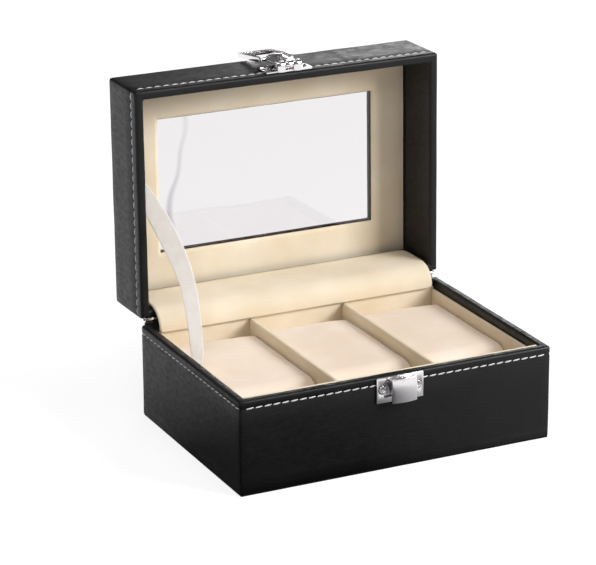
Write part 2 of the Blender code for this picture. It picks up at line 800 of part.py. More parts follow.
def strip(shape, route, thick, low_x, high_x):
    """A band of even thickness along a (y, z) route, its width along X."""
    upper, lower = [], []
    for i, (y, z) in enumerate(route):
        before = Vector(route[max(i - 1, 0)])
        after = Vector(route[min(i + 1, len(route) - 1)])
        way = (after - before).normalized()
        side = Vector((-way.y, way.x)) * thick / 2
        upper.append((y + side.x, z + side.y))
        lower.append((y - side.x, z - side.y))
    extrude_outline(shape, upper + lower[::-1], low_x, high_x)


def ribbon_stay():
    """The satin ribbon that stays the lid, in the plane of the left wall."""

    def build(shape):
        strip(shape, RIBBON_ROUTE, RIBBON_WIDTH, -RIBBON_BOW, -RIBBON_BOW + RIBBON_THICK)

    return object_from("ribbon_stay", build, satin())


def hinge_flap():
    """The suede flap that bows over the hinge, from the lid's rear wall to the base's rear lining."""
    over_lid = HINGE_Z + HINGE_BEHIND + RIM_WIDTH + 1.0
    bow = [(78.5, over_lid), (68.0, over_lid + 0.2), (58.0, over_lid), (54.0, over_lid - 0.9)]
    bow += [(51.0, over_lid - 3.0), (49.2, over_lid - 5.6), (48.6, over_lid - 8.4), (48.6, LINING_TOP + 0.2)]

    half = LINED_HALF_W - FLAP_SIDE_GAP

    def build(shape):
        strip(shape, bow, FLAP_THICK, -half, half)

    return object_from("hinge_flap", build, cream_suede(), smooth=True)


def main():
    clear_scene()
    base_front = base_boards()
    base_cover = base_leather()
    underside_pad()
    base_lining()
    dividers()
    pillows()
    front_catch((base_front, base_cover))
    lid = empty("lid_swing", (0, HINGE_Y, HINGE_Z), turn_x=-OPEN_ANGLE)
    rebate = helper("lid_hinge_rebate", hinge_rebate, lid)
    lid_front = lid_boards(lid, rebate)
    lid_top_board(lid)
    lid_cover = lid_leather(lid, rebate)
    window_pane(lid)
    lid_lining(lid)
    rear_hinge(lid)
    hasp(lid, (lid_front, lid_cover))
    ribbon_stay()
    hinge_flap()


main()
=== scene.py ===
import json
from math import cos, pi, radians, sin

import bmesh
import bpy
from bpy.props import FloatProperty, FloatVectorProperty, PointerProperty
from mathutils import Matrix, Vector, noise

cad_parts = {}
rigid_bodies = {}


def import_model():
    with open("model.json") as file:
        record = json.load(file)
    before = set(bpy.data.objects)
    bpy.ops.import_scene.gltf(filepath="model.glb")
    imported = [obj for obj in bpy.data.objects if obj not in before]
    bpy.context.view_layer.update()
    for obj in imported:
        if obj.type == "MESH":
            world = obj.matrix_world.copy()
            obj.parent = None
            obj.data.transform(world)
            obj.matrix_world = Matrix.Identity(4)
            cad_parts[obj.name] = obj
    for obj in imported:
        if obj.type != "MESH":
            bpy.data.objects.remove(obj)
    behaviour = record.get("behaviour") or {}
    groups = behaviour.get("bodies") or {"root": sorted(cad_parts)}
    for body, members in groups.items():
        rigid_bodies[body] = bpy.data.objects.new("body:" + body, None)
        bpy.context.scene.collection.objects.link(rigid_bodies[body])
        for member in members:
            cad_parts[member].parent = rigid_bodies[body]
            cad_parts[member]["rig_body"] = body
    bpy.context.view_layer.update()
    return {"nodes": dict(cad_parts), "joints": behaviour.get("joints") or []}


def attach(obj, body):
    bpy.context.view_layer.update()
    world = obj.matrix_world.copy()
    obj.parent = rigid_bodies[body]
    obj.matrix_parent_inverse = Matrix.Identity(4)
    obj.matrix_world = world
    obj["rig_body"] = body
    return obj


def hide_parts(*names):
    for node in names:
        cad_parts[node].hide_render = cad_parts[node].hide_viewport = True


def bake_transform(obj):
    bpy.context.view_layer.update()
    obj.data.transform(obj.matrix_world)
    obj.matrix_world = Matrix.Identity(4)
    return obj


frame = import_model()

bl_info = {
    "name": "Three-slot watch box",
    "version": (1, 0, 0),
    "blender": (4, 5, 0),
    "location": "3D View > Sidebar > Watch box",
    "description": "Dresses the frame of a windowed watch box in leather, suede, satin and chrome",
    "category": "Object",
}

# Lengths in the drawing functions are millimetres, and each piece is scaled to metres as it is finished.
MM = 0.001
# Two places nearer than this, in millimetres, are the same.
CLOSE = 0.01
# Faces that meet at more than this many degrees are shaded with a crease between them.
SHARP = 35.0
RIGHT, BACK, UP = Vector((1, 0, 0)), Vector((0, 1, 0)), Vector((0, 0, 1))

HINGE = next(joint for joint in frame["joints"] if joint["name"] == "lid_hinge")
HINGE_PLACE = Vector(HINGE["pos_m"])
LID_BODIES = ("lid", "hasp_lever", "hasp_ring")


def closing_turn():
    """The turn about the hinge that shuts the lid, in metres."""
    swing = Matrix.Rotation(radians(HINGE["range_deg"][0]), 4, Vector(HINGE["axis"]))
    return Matrix.Translation(HINGE_PLACE) @ swing @ Matrix.Translation(-HINGE_PLACE)


SHUT = closing_turn()
OPENED = SHUT.inverted()


def extent(node):
    """Lowest and highest corner of a CAD node in millimetres, with the lid shut."""
    obj = frame["nodes"][node]
    turn = SHUT if obj["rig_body"] in LID_BODIES else Matrix.Identity(4)
    points = [turn @ vert.co / MM for vert in obj.data.vertices]
    low = Vector([min(point[i] for point in points) for i in range(3)])
    high = Vector([max(point[i] for point in points) for i in range(3)])
    return low, high


def opening(node, height):
    """Half width and half depth of the hole through a CAD node at that height, with the lid shut."""
    points = [SHUT @ vert.co / MM for vert in frame["nodes"][node].data.vertices]
    level = [point for point in points if abs(point.z - height) < 5 * CLOSE]
    return min(abs(point.x) for point in level), min(abs(point.y) for point in level)


# ---------------------------------------------------------------- colours and materials


def linear(code):
    """An sRGB hex colour as linear red, green and blue."""
    parts = [int(code[i:i + 2], 16) / 255 for i in (0, 2, 4)]
    return [c / 12.92 if c <= 0.04045 else ((c + 0.055) / 1.055) ** 2.4 for c in parts]


def opaque(colour):
    return (*colour, 1.0)


def node(tree, kind, inputs=None, **settings):
    """Adds a node: settings are its properties, and inputs are values or the sockets that feed it."""
    made = tree.nodes.new(kind)
    for name, value in settings.items():
        setattr(made, name, value)
    for socket, value in (inputs or {}).items():
        if isinstance(value, bpy.types.NodeSocket):
            tree.links.new(value, made.inputs[socket])
        else:
            made.inputs[socket].default_value = value
    return made


def start_material(name):
    """A material with nothing in it but its output."""
    made = bpy.data.materials.new(name)
    made.use_nodes = True
    tree = made.node_tree
    tree.nodes.clear()
    return made, tree, node(tree, "ShaderNodeOutputMaterial")


def object_place(tree):
    return node(tree, "ShaderNodeTexCoord").outputs["Object"]


def ramp(tree, factor, dark, light, low=0.0, high=1.0):
    """A two-colour ramp between two positions."""
    made = node(tree, "ShaderNodeValToRGB", {"Fac": factor})
    made.color_ramp.elements[0].position = low
    made.color_ramp.elements[0].color = opaque(dark)
    made.color_ramp.elements[1].position = high
    made.color_ramp.elements[1].color = opaque(light)
    return made.outputs["Color"]


def leather_material(colours):
    """Black polyurethane leather, embossed by a heated roller and glossed by its topcoat: a pebble grain
    about 0.8 mm across, faint long creases, and a soft sheen that breaks up over the grain."""
    made, tree, output = start_material("embossed_pu_leather")
    place = object_place(tree)
    stretched = node(tree, "ShaderNodeMapping", {"Vector": place, "Scale": (1.0, 1.0, 2.2)})
    pebble = node(tree, "ShaderNodeTexVoronoi", {"Vector": place, "Scale": 1300.0}, feature="SMOOTH_F1")
    crease = node(tree, "ShaderNodeTexNoise",
                  {"Vector": stretched.outputs[0], "Scale": 260.0, "Detail": 4.0})
    patch = node(tree, "ShaderNodeTexNoise", {"Vector": place, "Scale": 45.0, "Detail": 3.0})
    grain = node(tree, "ShaderNodeMath", {0: crease.outputs[0], 1: 0.9, 2: pebble.outputs[0]},
                 operation="MULTIPLY_ADD")
    bump = node(tree, "ShaderNodeBump",
                {"Height": grain.outputs[0], "Strength": 0.22, "Distance": 0.00025})
    colour = ramp(tree, patch.outputs[0], colours.leather, colours.leather_worn, 0.3, 0.75)
    rough = node(tree, "ShaderNodeMapRange", {
        "Value": crease.outputs[0], "From Min": 0.3, "From Max": 0.7, "To Min": 0.34, "To Max": 0.5})
    shader = node(tree, "ShaderNodeBsdfPrincipled", {
        "Base Color": colour, "Roughness": rough.outputs[0], "Specular IOR Level": 0.28, "IOR": 1.5,
        "Normal": bump.outputs[0]})
    tree.links.new(shader.outputs[0], output.inputs["Surface"])
    return made


def suede_material(name, dark, light, nap, sheen):
    """Microfibre suede: polyester fibres split and sanded to a short nap. It has no gloss, a pale bloom at
    grazing angles, and soft patches where the nap lies one way or the other."""
    made, tree, output = start_material(name)
    place = object_place(tree)
    brushed = node(tree, "ShaderNodeTexNoise", {"Vector": place, "Scale": 38.0, "Detail": 3.0})
    fibre = node(tree, "ShaderNodeTexNoise",
                 {"Vector": place, "Scale": 2600.0, "Detail": 3.0, "Roughness": 0.7})
    mottle = node(tree, "ShaderNodeMath", {0: fibre.outputs[0], 1: nap, 2: brushed.outputs[0]},
                  operation="MULTIPLY_ADD")
    colour = ramp(tree, mottle.outputs[0], dark, light, 0.35 + nap / 2, 0.7 + nap / 2)
    bump = node(tree, "ShaderNodeBump",
                {"Height": fibre.outputs[0], "Strength": 0.35, "Distance": 0.00012})
    shader = node(tree, "ShaderNodeBsdfPrincipled", {
        "Base Color": colour, "Roughness": 0.92, "Specular IOR Level": 0.2, "Sheen Weight": sheen,
        "Sheen Roughness": 0.45, "Sheen Tint": opaque(light), "Normal": bump.outputs[0]})
    tree.links.new(shader.outputs[0], output.inputs["Surface"])
    return made


def chrome_material(colours):
    """Bright chrome over nickel on stamped steel: a hard mirror, slightly wavy from the pressing under it,
    with fine polishing haze."""
    made, tree, output = start_material("chrome_plated_steel")
    place = object_place(tree)
    wave = node(tree, "ShaderNodeTexNoise", {"Vector": place, "Scale": 230.0, "Detail": 1.0})
    haze = node(tree, "ShaderNodeTexNoise", {"Vector": place, "Scale": 900.0, "Detail": 3.0})
    bump = node(tree, "ShaderNodeBump",
                {"Height": wave.outputs[0], "Strength": 0.12, "Distance": 0.0003})
    rough = node(tree, "ShaderNodeMapRange", {"Value": haze.outputs[0], "To Min": 0.07, "To Max": 0.2})
    shader = node(tree, "ShaderNodeBsdfPrincipled", {
        "Base Color": opaque(colours.chrome), "Metallic": 1.0, "Roughness": rough.outputs[0],
        "Normal": bump.outputs[0]})
    tree.links.new(shader.outputs[0], output.inputs["Surface"])
    return made


def satin_material(colours):
    """Woven satin ribbon: long polyester floats lie along its length, so it shines in bands across its
    width, and it is thin enough for light to pass through. The real floats are 0.1 mm apart, and they are
    drawn 0.45 mm apart so that they show."""
    made, tree, output = start_material("woven_satin_ribbon")
    along = node(tree, "ShaderNodeUVMap", uv_map="weave").outputs[0]
    floats = node(tree, "ShaderNodeTexWave",
                  {"Vector": along, "Scale": 350.0, "Distortion": 1.5, "Detail": 2.0}, bands_direction="X")
    shade = node(tree, "ShaderNodeTexNoise", {"Vector": along, "Scale": 90.0, "Detail": 2.0})
    colour = ramp(tree, shade.outputs[0], colours.satin_shade, colours.satin, 0.35, 0.6)
    bump = node(tree, "ShaderNodeBump",
                {"Height": floats.outputs[0], "Strength": 0.2, "Distance": 0.00006})
    shader = node(tree, "ShaderNodeBsdfPrincipled", {
        "Base Color": colour, "Roughness": 0.42, "Specular IOR Level": 0.5, "Sheen Weight": 0.3,
        "Sheen Roughness": 0.3, "Subsurface Weight": 1.0, "Subsurface Radius": (1.0, 0.95, 0.9),
        "Subsurface Scale": 0.006, "Normal": bump.outputs[0]})
    tree.links.new(shader.outputs[0], output.inputs["Surface"])
    return made


# Where the film's crease crosses the window, how far it wanders and how wide it fades, in metres from the
# window's middle; the crease is both a bump and a line of painted shade. A negative place is on its left.
FILM_CREASE = -36.0 * MM
CREASE_WANDER = 0.022
CREASE_FADE = 0.0026


def acrylic_material():
    """Cast acrylic sheet under the thin film that protects it: clear, faintly lilac, with a weak bright
    reflection, a very slight ripple, and one long crease where the film has lifted near its left end. Along
    the crease the colour is painted darker, as painted shade for how the lifted film catches the light,
    beside the crease's real bump."""
    made, tree, output = start_material("clear_acrylic_sheet")
    place = object_place(tree)
    across = node(tree, "ShaderNodeSeparateXYZ", {0: place}).outputs[0]
    wander = node(tree, "ShaderNodeTexNoise", {"Vector": place, "Scale": 26.0, "Detail": 1.0}).outputs[0]

    def combine(operation, *values):
        return node(tree, "ShaderNodeMath", dict(enumerate(values)), operation=operation).outputs[0]

    shifted = combine("MULTIPLY_ADD", wander, CREASE_WANDER, across)
    near = combine("ABSOLUTE", combine("SUBTRACT", shifted, FILM_CREASE))
    fold = node(tree, "ShaderNodeMapRange",
                {"Value": near, "From Max": CREASE_FADE, "To Min": 1.0, "To Max": 0.0},
                interpolation_type="SMOOTHSTEP")
    crease_shade_and_lift = combine("MULTIPLY", fold.outputs[0], wander)
    # Painted shade: the pane's colour turns greyer along the film's crease.
    colour = ramp(tree, crease_shade_and_lift, linear("E7E4E6"), linear("B4B0B4"))
    height = combine("MULTIPLY_ADD", crease_shade_and_lift, 0.6, wander)
    bump = node(tree, "ShaderNodeBump", {"Height": height, "Strength": 0.2, "Distance": 0.0008})
    shader = node(tree, "ShaderNodeBsdfPrincipled", {
        "Base Color": colour, "Roughness": 0.02, "IOR": 1.49, "Transmission Weight": 1.0,
        "Normal": bump.outputs[0]})
    lamp = node(tree, "ShaderNodeLightPath").outputs["Is Shadow Ray"]
    clear = node(tree, "ShaderNodeBsdfTransparent")
    both = node(tree, "ShaderNodeMixShader", {0: lamp, 1: shader.outputs[0], 2: clear.outputs[0]})
    tree.links.new(both.outputs[0], output.inputs["Surface"])
    return made


def thread_material(colours):
    """Bonded polyester thread, two plies twisted together: white, slightly waxy, and ribbed across by the
    twist."""
    made, tree, output = start_material("bonded_polyester_thread")
    place = object_place(tree)
    ply = node(tree, "ShaderNodeTexWave", {"Vector": place, "Scale": 900.0, "Distortion": 0.5},
               bands_direction="DIAGONAL")
    bump = node(tree, "ShaderNodeBump",
                {"Height": ply.outputs[0], "Strength": 0.35, "Distance": 0.0001})
    colour = ramp(tree, ply.outputs[0], colours.thread_shade, colours.thread)
    shader = node(tree, "ShaderNodeBsdfPrincipled", {
        "Base Color": colour, "Roughness": 0.55, "Sheen Weight": 0.2, "Normal": bump.outputs[0]})
    tree.links.new(shader.outputs[0], output.inputs["Surface"])
    return made


def matted_material(name, dark, light, scale, depth):
    """Fibres pressed together, as in felt, hardboard or greyboard: matt, with short specks of two tones."""
    made, tree, output = start_material(name)
    place = object_place(tree)
    speck = node(tree, "ShaderNodeTexNoise",
                 {"Vector": place, "Scale": scale, "Detail": 5.0, "Roughness": 0.75})
    colour = ramp(tree, speck.outputs[0], dark, light, 0.35, 0.65)
    bump = node(tree, "ShaderNodeBump", {"Height": speck.outputs[0], "Strength": 0.5, "Distance": depth})
    shader = node(tree, "ShaderNodeBsdfPrincipled", {
        "Base Color": colour, "Roughness": 0.95, "Specular IOR Level": 0.15, "Normal": bump.outputs[0]})
    tree.links.new(shader.outputs[0], output.inputs["Surface"])
    return made


PAINTS = {}


def paint(slot):
    """The material for one of the record's slots, made once."""
    if slot not in PAINTS:
        colours = bpy.context.scene.watch_box_colours
        makers = {
            "black_leather": lambda: leather_material(colours),
            "cream_suede": lambda: suede_material(
                "microfibre_suede", colours.suede_shade, colours.suede, 0.3, 0.25),
            "pillow_velvet": lambda: suede_material(
                "cotton_velvet", colours.velvet_shade, colours.velvet, 0.2, 0.3),
            "chrome": lambda: chrome_material(colours),
            "ivory_satin": lambda: satin_material(colours),
            "clear_pane": acrylic_material,
            "white_thread": lambda: thread_material(colours),
            "black_felt": lambda: matted_material(
                "needled_felt", linear("0D0D0E"), linear("2A2A2B"), 1400.0, 0.0003),
            "board_fibre": lambda: matted_material(
                "medium_density_fibreboard", linear("7A5F43"), linear("A5865F"), 900.0, 0.0001),
            "grey_card": lambda: matted_material(
                "greyboard", linear("8C8780"), linear("B5AFA6"), 1100.0, 0.0001),
        }
        PAINTS[slot] = makers[slot]()
    return PAINTS[slot]


# ---------------------------------------------------------------- drawing and finishing a piece


def finish_piece(name, build, slot, body, finish=None, sharp=SHARP, modifiers=()):
    """A piece drawn in millimetres with the lid shut. A piece of the lid is opened with it, then rides on
    it."""
    shape = bmesh.new()
    build(shape)
    bmesh.ops.scale(shape, vec=(MM, MM, MM), verts=shape.verts)
    if body in LID_BODIES:
        bmesh.ops.transform(shape, matrix=OPENED, verts=shape.verts)
    mesh = bpy.data.meshes.new(name)
    shape.to_mesh(mesh)
    shape.free()
    mesh.materials.append(paint(finish or slot))
    mesh.shade_smooth()
    mesh.set_sharp_from_angle(angle=radians(sharp))
    obj = bpy.data.objects.new(name, mesh)
    bpy.context.scene.collection.objects.link(obj)
    for kind, settings in modifiers:
        step = obj.modifiers.new(kind.lower(), kind)
        for key, value in settings.items():
            setattr(step, key, value)
    settle(obj)
    if body:
        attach(obj, body)
    return obj


def settle(obj):
    """Applies the piece's modifiers to its mesh."""
    if not obj.modifiers:
        return
    graph = bpy.context.evaluated_depsgraph_get()
    mesh = bpy.data.meshes.new_from_object(obj.evaluated_get(graph))
    obj.modifiers.clear()
    obj.data = mesh


def add_block(shape, low, high):
    """A box between two corners."""
    size = [high[i] - low[i] for i in range(3)]
    middle = [(high[i] + low[i]) / 2 for i in range(3)]
    place = Matrix.Translation(middle) @ Matrix.Diagonal((*size, 1.0))
    return bmesh.ops.create_cube(shape, size=1.0, matrix=place)["verts"]


def round_edges(shape, edges, radius, steps):
    """Rounds the edges to that radius, each in that many flat steps."""
    bmesh.ops.bevel(shape, geom=edges, offset=radius, offset_type="OFFSET", segments=steps, profile=0.5,
                    affect="EDGES", material=-1, clamp_overlap=True)


def square_edges(shape, test=None, least=50):
    """Edges where two faces meet at more than that many degrees, and whose middle passes the test."""
    shape.normal_update()
    found = [e for e in shape.edges if len(e.link_faces) == 2 and e.calc_face_angle(0) > radians(least)]
    return [e for e in found if test is None or test((e.verts[0].co + e.verts[1].co) / 2)]


def face_at(shape, way, height):
    """The face that looks along way and lies at that height along it."""
    shape.normal_update()
    return next(f for f in shape.faces
                if f.normal.dot(way) > 0.99 and abs(f.calc_center_median().dot(way) - height) < CLOSE)


def fold_in(shape, way, height, width, depth):
    """Leaves a border of that width on a face, turns the rest of it in by depth, and opens it."""
    face = face_at(shape, way, height)
    bmesh.ops.inset_region(shape, faces=[face], thickness=width, depth=0.0, use_even_offset=True)
    grown = bmesh.ops.extrude_face_region(shape, geom=[face])["geom"]
    verts = [item for item in grown if isinstance(item, bmesh.types.BMVert)]
    bmesh.ops.translate(shape, vec=-depth * way, verts=verts)
    inner = [item for item in grown if isinstance(item, bmesh.types.BMFace)]
    bmesh.ops.delete(shape, geom=inner, context="FACES_ONLY")
    if face.is_valid:
        bmesh.ops.delete(shape, geom=[face], context="FACES_ONLY")


def slice_across(shape, way, distances):
    """Cuts every face where it crosses each distance along way, so that the piece can bend there."""
    for distance in distances:
        whole = shape.verts[:] + shape.edges[:] + shape.faces[:]
        bmesh.ops.bisect_plane(shape, geom=whole, dist=CLOSE / 10, plane_co=way * distance, plane_no=way)


def spaced(low, high, pitch):
    """Even distances between low and high, leaving out both ends."""
    count = max(1, round((high - low) / pitch))
    return [low + (high - low) * i / count for i in range(1, count)]


# Where the noise of each soft surface starts, so that no two pieces waver alike.
SEEDS = {"linings": 0.5, "base": 1.0, "lid": 2.0, "flap": 3.0, "panel": 4.0, "dividers": 7.5,
         "pillows": 10.0, "pad": 21.0}


def soften(shape, amount, size, seed):
    """Moves points in and out along their normals by a slow, even noise of that size across."""
    shape.normal_update()
    for vert in shape.verts:
        shift = noise.noise(vert.co / size + Vector((seed, seed * 1.7, seed * 0.6)))
        vert.co += vert.normal * shift * amount


# ---------------------------------------------------------------- leather covers and their stitching

# Lengths of the leather, in millimetres.
RIM_WIDTH = 4.4
TURN_IN = 4.0
LEATHER = 0.7
OUTER_ROUND = 1.3
WINDOW_ROUND = 0.6
PANE_GAP = 0.6
LEATHER_WAVER = 0.12
LEATHER_WAVER_SIZE = 16.0
WALL_SLICE = 4.5
HEIGHT_SLICE = 6.0
# Height beside each rim that is left unsliced, for the channel under the stitches.
BASE_STITCH_BAND = 6.0
LID_STITCH_BAND = 7.0
# The edges of the window's hole lie within this half width and half depth, and all others outside it.
WINDOW_ZONE = (60.0, 40.0)
# Near the hinge, the lid's rear wall keeps this far in front of the axis.
HINGE_REACH = 1.6

# The rows of stitches, in millimetres and degrees.
BASE_STITCH_DROP = 3.9
LID_STITCH_RISE = 5.4
THREAD_RADIUS = 0.36
STITCH_HALF = 1.5
STITCH_DIP = 0.11
STITCH_SLANT = 6.0
STITCH_SINK = 0.1
CORNER_GAP = 1.8
LATCH_GAP = 13.0
# Distance from the middle of the channel under the stitches, and how deep it is there.
CHANNEL = ((0.0, 0.26), (0.45, 0.16), (0.9, 0.0))
WALL_SKIN = 0.5


def press_channel(shape, high, height):
    """Sinks a shallow channel under the stitch row into the outer walls, deepest along its middle."""
    levels = sorted({height + sign * offset for offset, _ in CHANNEL for sign in (-1, 1)})
    slice_across(shape, UP, levels)
    shape.normal_update()
    for vert in shape.verts:
        outside = abs(vert.co.x) > high.x - WALL_SKIN or abs(vert.co.y) > high.y - WALL_SKIN
        for offset, depth in CHANNEL:
            if outside and abs(abs(vert.co.z - height) - offset) < 2 * CLOSE:
                vert.co -= vert.normal * depth


def slice_walls(shape, low, high, heights):
    """Cuts a cover across its width and depth, and at those heights."""
    slice_across(shape, RIGHT, spaced(low.x, high.x, WALL_SLICE))
    slice_across(shape, BACK, spaced(low.y, high.y, WALL_SLICE))
    slice_across(shape, UP, heights)


def base_skin(shape):
    """The base's cover: open underneath, and turned in over the rim."""
    low, high = extent("base_leather_cover")
    add_block(shape, low, high)
    bmesh.ops.delete(shape, geom=[face_at(shape, -UP, -low.z)], context="FACES")
    fold_in(shape, UP, high.z, RIM_WIDTH, TURN_IN)
    round_edges(shape, square_edges(shape), OUTER_ROUND, steps=4)
    slice_walls(shape, low, high, spaced(low.z, high.z - BASE_STITCH_BAND, HEIGHT_SLICE))
    press_channel(shape, high, high.z - BASE_STITCH_DROP)
    soften(shape, LEATHER_WAVER, LEATHER_WAVER_SIZE, SEEDS["base"])


def lid_skin(shape):
    """The lid's cover: turned in over its rim and round the window, and clear of the hinge."""
    low, high = extent("lid_leather_cover")
    _, panel_high = extent("lid_lining_panel")
    _, pane_high = extent("window_pane")
    window_x, _ = opening("lid_leather_cover", high.z)
    add_block(shape, low, high)
    fold_in(shape, -UP, -low.z, RIM_WIDTH, panel_high.z - low.z)
    fold_in(shape, UP, high.z, high.x - window_x, high.z - pane_high.z - PANE_GAP)

    def by_window(place):
        return abs(place.x) < WINDOW_ZONE[0] and abs(place.y) < WINDOW_ZONE[1]

    round_edges(shape, square_edges(shape, by_window), WINDOW_ROUND, steps=3)
    round_edges(shape, square_edges(shape, lambda place: not by_window(place)), OUTER_ROUND, steps=4)
    slice_walls(shape, low, high, spaced(low.z + LID_STITCH_BAND, high.z, HEIGHT_SLICE))
    press_channel(shape, high, low.z + LID_STITCH_RISE)
    soften(shape, LEATHER_WAVER, LEATHER_WAVER_SIZE, SEEDS["lid"])
    hinge = HINGE_PLACE / MM
    slice_across(shape, UP, [hinge.z + HINGE_REACH])
    for vert in shape.verts:
        if vert.co.z < hinge.z + HINGE_REACH - CLOSE and vert.co.y > hinge.y - HINGE_REACH:
            vert.co.y = hinge.y - HINGE_REACH


def thread_stitch(shape):
    """One stitch along X: a bar of thread with round ends that dive into the leather."""
    made = bmesh.ops.create_uvsphere(shape, u_segments=8, v_segments=6, radius=THREAD_RADIUS,
                                     matrix=Matrix.Rotation(pi / 2, 4, "Y"))["verts"]
    for vert in made:
        if abs(vert.co.x) > CLOSE:
            vert.co.x += STITCH_HALF if vert.co.x > 0 else -STITCH_HALF
        vert.co.y += STITCH_DIP * vert.co.x ** 2
    return made


def stitch_row(shape, half_x, half_y, height, pitch, flip):
    """Stitches round the front, left and right walls, outwards from the middle of each, clear of the
    latch."""
    bars = []
    slant = Matrix.Rotation(radians(-STITCH_SLANT * flip), 4, "Y")
    for way, half, reach in ((0, half_y, half_x), (1, half_x, half_y), (3, half_x, half_y)):
        turn = Matrix.Rotation(way * pi / 2, 4, "Z")
        count = int((reach - CORNER_GAP) / pitch)
        for step in range(-count, count + 1):
            along = step * pitch
            if way == 0 and abs(along) < LATCH_GAP:
                continue
            place = Matrix.Translation((along, -half, height)) @ slant
            bars.append(turn @ place)
    for bar in bars:
        verts = thread_stitch(shape)
        bmesh.ops.transform(shape, matrix=bar, verts=verts)


# ---------------------------------------------------------------- suede linings and dividers

# Rounding of the edges, how far the faces waver, the slices and the noise's size, in millimetres.
LINING_ROUND = 0.45
LINING_WAVER = 0.08
DIVIDER_ROUND = 0.7
DIVIDER_WAVER = 0.14
PAD_ROUND = 0.3
PAD_WAVER = 0.05
PANEL_ROUND = 0.4
PANEL_SLICE = 6.0
PANEL_WAVER_SIZE = 14.0
CARD_SLICE = 5.0
CARD_WAVER_SIZE = 11.0
LEAST_SLICED = 8.0


def covered_card(shape, low, high, radius, seed, amount=LINING_WAVER):
    """A card panel wrapped in suede: soft edges and a slightly uneven face."""
    add_block(shape, low, high)
    round_edges(shape, square_edges(shape), radius, steps=3)
    for way, i in ((RIGHT, 0), (BACK, 1), (UP, 2)):
        if high[i] - low[i] > LEAST_SLICED:
            slice_across(shape, way, spaced(low[i], high[i], CARD_SLICE))
    soften(shape, amount, CARD_WAVER_SIZE, seed)


def lid_panel(shape):
    """The suede-covered panel, with its window cut through on a slant."""
    low, high = extent("lid_lining_panel")
    add_block(shape, low, high)
    inner = []
    for way, height in ((UP, high.z), (-UP, low.z)):
        hole_x, hole_y = opening("lid_lining_panel", height)
        face = face_at(shape, way, height * way.z)
        bmesh.ops.inset_region(shape, faces=[face], thickness=high.x - hole_x, depth=0.0,
                               use_even_offset=True)
        for vert in face.verts:
            vert.co.x = hole_x if vert.co.x > 0 else -hole_x
            vert.co.y = hole_y if vert.co.y > 0 else -hole_y
        inner.append(face)
    bmesh.ops.bridge_loops(shape, edges=list({e for f in inner for e in f.edges}))
    bmesh.ops.delete(shape, geom=inner, context="FACES_ONLY")
    bmesh.ops.recalc_face_normals(shape, faces=shape.faces)
    round_edges(shape, square_edges(shape, least=25), PANEL_ROUND, steps=3)
    slice_across(shape, RIGHT, spaced(low.x, high.x, PANEL_SLICE))
    slice_across(shape, BACK, spaced(low.y, high.y, PANEL_SLICE))
    soften(shape, LINING_WAVER, PANEL_WAVER_SIZE, SEEDS["panel"])


# ---------------------------------------------------------------- watch pillows

# Radii of the outline and of the side seams, the slices, the crown and the plumpness, in millimetres.
PILLOW_NOSE = 12.0
PILLOW_SHOULDER = 8.0
PILLOW_HEEL = 2.5
PILLOW_SIDE = 1.6
PILLOW_SLICE = 3.5
PILLOW_CROWN = 0.9
PILLOW_WAVER = 0.25
PILLOW_WAVER_SIZE = 13.0
PILLOW_SEED_STEP = 3.1


def pillow_form(shape, low, high):
    """A full pillow: a round shoulder behind, nearly flat on top, and a fuller round nose."""
    add_block(shape, low, high)
    for y, z, radius, steps in ((low.y, high.z, PILLOW_NOSE, 10), (high.y, high.z, PILLOW_SHOULDER, 8),
                                (high.y, low.z, PILLOW_HEEL, 3), (low.y, low.z, PILLOW_HEEL, 3)):
        along_x = square_edges(shape, lambda p: abs(p.y - y) < CLOSE and abs(p.z - z) < CLOSE)
        round_edges(shape, along_x, radius, steps)
    sides = square_edges(shape, lambda p: abs(abs(p.x) - high.x) < CLOSE)
    round_edges(shape, sides, PILLOW_SIDE, steps=4)
    for way, i in ((RIGHT, 0), (BACK, 1), (UP, 2)):
        slice_across(shape, way, spaced(low[i], high[i], PILLOW_SLICE))
    shape.normal_update()
    for vert in shape.verts:
        across = max(0.0, 1 - (vert.co.x / high.x) ** 2)
        if vert.normal.z > 0.2:
            vert.co.z -= PILLOW_CROWN * (1 - across) ** 2


# ---------------------------------------------------------------- hinge flap and ribbon

# Thicknesses in millimetres, and the angle in degrees below which cloth is shaded smooth.
FLAP_THICK = 0.8
RIBBON_THICK = 0.3
CLOTH_SHARP = 60.0


def sheet_modifiers(thickness):
    """Smooths a drawn sheet and gives it that thickness."""
    return [("SUBSURF", {"levels": 2, "render_levels": 2}),
            ("SOLIDIFY", {"thickness": thickness * MM, "offset": 0.0})]


# Depth and height of the flap's bow, from the lid's panel forwards and down behind the base's rear lining.
FLAP_ROUTE = ((78.5, 53.8), (68.0, 54.0), (58.0, 53.8), (54.0, 52.9), (51.0, 50.8), (49.2, 48.2),
              (48.6, 45.4), (48.6, 43.2))
FLAP_HALF = 73.4
FLAP_STEPS = 28
# Height of the flap's ripples, how long they are along x and y, and how far from each end they fade out.
FLAP_RIPPLE = 0.35
FLAP_RIPPLE_SIZE = (23.0, 9.0)
FLAP_LID_FADE = 12.0
FLAP_BASE_FADE = 8.0


